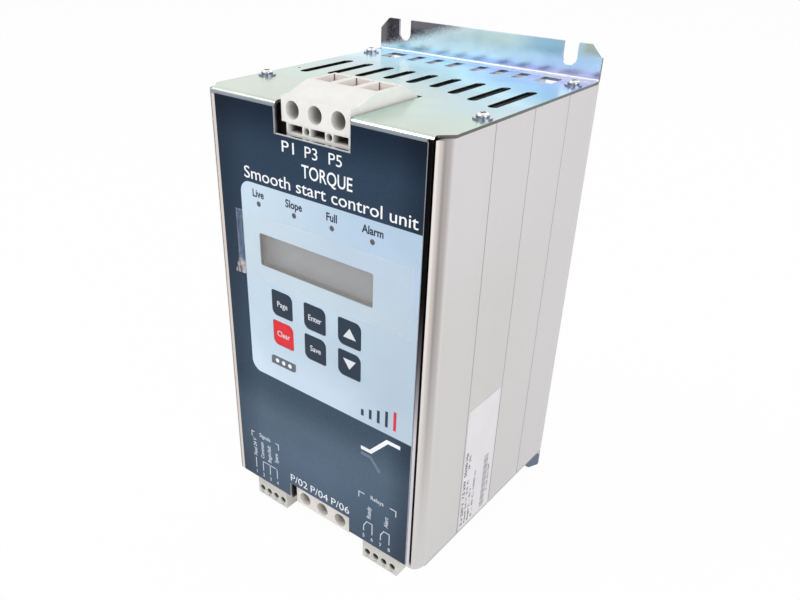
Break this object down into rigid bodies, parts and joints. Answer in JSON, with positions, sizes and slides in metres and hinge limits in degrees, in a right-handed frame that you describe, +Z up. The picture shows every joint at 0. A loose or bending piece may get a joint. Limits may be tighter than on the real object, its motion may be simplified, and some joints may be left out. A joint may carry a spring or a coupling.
{
  "type": "motor soft starter",
  "caption": "Wall-mounted motor soft starter: extruded finned body, folded vented cover with slotted flanges, display and keys on the front, screw-clamp power and control terminals.",
  "frame": {"origin": "middle of the back mounting plane", "axes": "+Z up along the body, the front looks towards -Y, +Y into the wall"},
  "size_m": [0.1202, 0.1201, 0.232],
  "materials": {
    "body_aluminium": "satin anodised extrusion",
    "cover_sheet": "zinc plated sheet with a faint rainbow sheen",
    "label_film": "printed film, satin",
    "clear_pane": "clear",
    "clear_film": "clear thin film",
    "display_frame_metal": "satin black",
    "display_grey": "grey display, unlit",
    "circuit_board": "green solder resist",
    "pale_plastic": "plain",
    "black_plastic": "moulded",
    "sticker_paper": "plain white sticker",
    "plated_screws": "zinc plated",
    "lamp_lens": "unlit",
    "terminal_plastic": "moulded ivory grey",
    "busbar_metal": "tinned",
    "post_brass": "turned",
    "coil_plastic": "coated winding",
    "key_navy": "printed key",
    "key_red": "printed key"
  },
  "bodies": {
    "starter": {"heatsink_body": "body_aluminium", "chassis_cover": "cover_sheet", "front_label": "label_film", "display_pane": "clear_pane", "display_frame": "display_frame_metal", "display_panel": "display_grey", "display_board": "circuit_board", "display_spacers": "pale_plastic", "protective_film": "clear_film", "side_sticker": "sticker_paper", "cover_screws_top": "plated_screws", "cover_screws_bottom": "plated_screws", "lamp_lenses": "lamp_lens", "lamps": "lamp_lens", "key_switches": "black_plastic", "control_board": "circuit_board", "board_standoffs": "plated_screws", "board_screws": "plated_screws", "control_chips": "black_plastic", "link_cable": "pale_plastic", "power_board": "circuit_board", "line_terminal_block": "terminal_plastic", "load_terminal_block": "terminal_plastic", "line_busbars": "busbar_metal", "load_busbars": "busbar_metal", "input_terminal_block": "terminal_plastic", "output_terminal_block": "terminal_plastic", "control_contacts": "busbar_metal", "power_modules": "black_plastic", "module_screws": "plated_screws", "module_posts": "post_brass", "power_board_screws": "plated_screws", "bypass_relays": "black_plastic", "current_transformers": "coil_plastic"},
    "key_menu": {"key_menu": "key_navy"},
    "key_enter": {"key_enter": "key_navy"},
    "key_up": {"key_up": "key_navy"},
    "key_reset": {"key_reset": "key_red"},
    "key_view": {"key_view": "key_navy"},
    "key_down": {"key_down": "key_navy"},
    "line_screw_1": {"line_screw_1": "plated_screws"},
    "line_cage_1": {"line_cage_1": "plated_screws"},
    "line_screw_2": {"line_screw_2": "plated_screws"},
    "line_cage_2": {"line_cage_2": "plated_screws"},
    "line_screw_3": {"line_screw_3": "plated_screws"},
    "line_cage_3": {"line_cage_3": "plated_screws"},
    "load_screw_1": {"load_screw_1": "plated_screws"},
    "load_cage_1": {"load_cage_1": "plated_screws"},
    "load_screw_2": {"load_screw_2": "plated_screws"},
    "load_cage_2": {"load_cage_2": "plated_screws"},
    "load_screw_3": {"load_screw_3": "plated_screws"},
    "load_cage_3": {"load_cage_3": "plated_screws"},
    "input_screw_1": {"input_screw_1": "plated_screws"},
    "input_screw_2": {"input_screw_2": "plated_screws"},
    "input_screw_3": {"input_screw_3": "plated_screws"},
    "input_screw_4": {"input_screw_4": "plated_screws"},
    "output_screw_1": {"output_screw_1": "plated_screws"},
    "output_screw_2": {"output_screw_2": "plated_screws"},
    "output_screw_3": {"output_screw_3": "plated_screws"},
    "output_screw_4": {"output_screw_4": "plated_screws"}
  },
  "joints": [
    {"name": "key_menu_press", "type": "slide", "parent": "starter", "child": "key_menu", "axis": [0, 1, 0], "range_m": [0, 0.0004], "stiffness_N_per_m": 1500, "springref_m": -0.0002},
    {"name": "key_enter_press", "type": "slide", "parent": "starter", "child": "key_enter", "axis": [0, 1, 0], "range_m": [0, 0.0004], "stiffness_N_per_m": 1500, "springref_m": -0.0002},
    {"name": "key_up_press", "type": "slide", "parent": "starter", "child": "key_up", "axis": [0, 1, 0], "range_m": [0, 0.0004], "stiffness_N_per_m": 1500, "springref_m": -0.0002},
    {"name": "key_reset_press", "type": "slide", "parent": "starter", "child": "key_reset", "axis": [0, 1, 0], "range_m": [0, 0.0004], "stiffness_N_per_m": 1500, "springref_m": -0.0002},
    {"name": "key_view_press", "type": "slide", "parent": "starter", "child": "key_view", "axis": [0, 1, 0], "range_m": [0, 0.0004], "stiffness_N_per_m": 1500, "springref_m": -0.0002},
    {"name": "key_down_press", "type": "slide", "parent": "starter", "child": "key_down", "axis": [0, 1, 0], "range_m": [0, 0.0004], "stiffness_N_per_m": 1500, "springref_m": -0.0002},
    {"name": "line_screw_1_turn", "type": "hinge", "parent": "starter", "child": "line_screw_1", "pos_m": [-0.0117, -0.1075, 0.0984], "axis": [0, 1, 0], "range_deg": [0, 2521]},
    {"name": "line_cage_1_rise", "type": "slide", "parent": "starter", "child": "line_cage_1", "axis": [0, -1, 0], "range_m": [0, 0.0056]},
    {"name": "line_screw_2_turn", "type": "hinge", "parent": "starter", "child": "line_screw_2", "pos_m": [0, -0.1075, 0.0984], "axis": [0, 1, 0], "range_deg": [0, 2521]},
    {"name": "line_cage_2_rise", "type": "slide", "parent": "starter", "child": "line_cage_2", "axis": [0, -1, 0], "range_m": [0, 0.0056]},
    {"name": "line_screw_3_turn", "type": "hinge", "parent": "starter", "child": "line_screw_3", "pos_m": [0.0117, -0.1075, 0.0984], "axis": [0, 1, 0], "range_deg": [0, 2521]},
    {"name": "line_cage_3_rise", "type": "slide", "parent": "starter", "child": "line_cage_3", "axis": [0, -1, 0], "range_m": [0, 0.0056]},
    {"name": "load_screw_1_turn", "type": "hinge", "parent": "starter", "child": "load_screw_1", "pos_m": [-0.0117, -0.1075, -0.0984], "axis": [0, 1, 0], "range_deg": [0, 2521]},
    {"name": "load_cage_1_rise", "type": "slide", "parent": "starter", "child": "load_cage_1", "axis": [0, -1, 0], "range_m": [0, 0.0056]},
    {"name": "load_screw_2_turn", "type": "hinge", "parent": "starter", "child": "load_screw_2", "pos_m": [0, -0.1075, -0.0984], "axis": [0, 1, 0], "range_deg": [0, 2521]},
    {"name": "load_cage_2_rise", "type": "slide", "parent": "starter", "child": "load_cage_2", "axis": [0, -1, 0], "range_m": [0, 0.0056]},
    {"name": "load_screw_3_turn", "type": "hinge", "parent": "starter", "child": "load_screw_3", "pos_m": [0.0117, -0.1075, -0.0984], "axis": [0, 1, 0], "range_deg": [0, 2521]},
    {"name": "load_cage_3_rise", "type": "slide", "parent": "starter", "child": "load_cage_3", "axis": [0, -1, 0], "range_m": [0, 0.0056]},
    {"name": "input_screw_1_turn", "type": "hinge", "parent": "starter", "child": "input_screw_1", "pos_m": [-0.04402, -0.1132, -0.1092], "axis": [0, 1, 0], "range_deg": [-720, 0]},
    {"name": "input_screw_2_turn", "type": "hinge", "parent": "starter", "child": "input_screw_2", "pos_m": [-0.03894, -0.1132, -0.1092], "axis": [0, 1, 0], "range_deg": [-720, 0]},
    {"name": "input_screw_3_turn", "type": "hinge", "parent": "starter", "child": "input_screw_3", "pos_m": [-0.03386, -0.1132, -0.1092], "axis": [0, 1, 0], "range_deg": [-720, 0]},
    {"name": "input_screw_4_turn", "type": "hinge", "parent": "starter", "child": "input_screw_4", "pos_m": [-0.02878, -0.1132, -0.1092], "axis": [0, 1, 0], "range_deg": [-720, 0]},
    {"name": "output_screw_1_turn", "type": "hinge", "parent": "starter", "child": "output_screw_1", "pos_m": [0.02878, -0.1132, -0.1092], "axis": [0, 1, 0], "range_deg": [-720, 0]},
    {"name": "output_screw_2_turn", "type": "hinge", "parent": "starter", "child": "output_screw_2", "pos_m": [0.03386, -0.1132, -0.1092], "axis": [0, 1, 0], "range_deg": [-720, 0]},
    {"name": "output_screw_3_turn", "type": "hinge", "parent": "starter", "child": "output_screw_3", "pos_m": [0.03894, -0.1132, -0.1092], "axis": [0, 1, 0], "range_deg": [-720, 0]},
    {"name": "output_screw_4_turn", "type": "hinge", "parent": "starter", "child": "output_screw_4", "pos_m": [0.04402, -0.1132, -0.1092], "axis": [0, 1, 0], "range_deg": [-720, 0]}
  ],
  "couplings": [
    {"joint": "line_screw_1_turn", "follows": "line_cage_1_rise", "rad_per_m": 7854},
    {"joint": "line_screw_2_turn", "follows": "line_cage_2_rise", "rad_per_m": 7854},
    {"joint": "line_screw_3_turn", "follows": "line_cage_3_rise", "rad_per_m": 7854},
    {"joint": "load_screw_1_turn", "follows": "load_cage_1_rise", "rad_per_m": 7854},
    {"joint": "load_screw_2_turn", "follows": "load_cage_2_rise", "rad_per_m": 7854},
    {"joint": "load_screw_3_turn", "follows": "load_cage_3_rise", "rad_per_m": 7854}
  ]
}
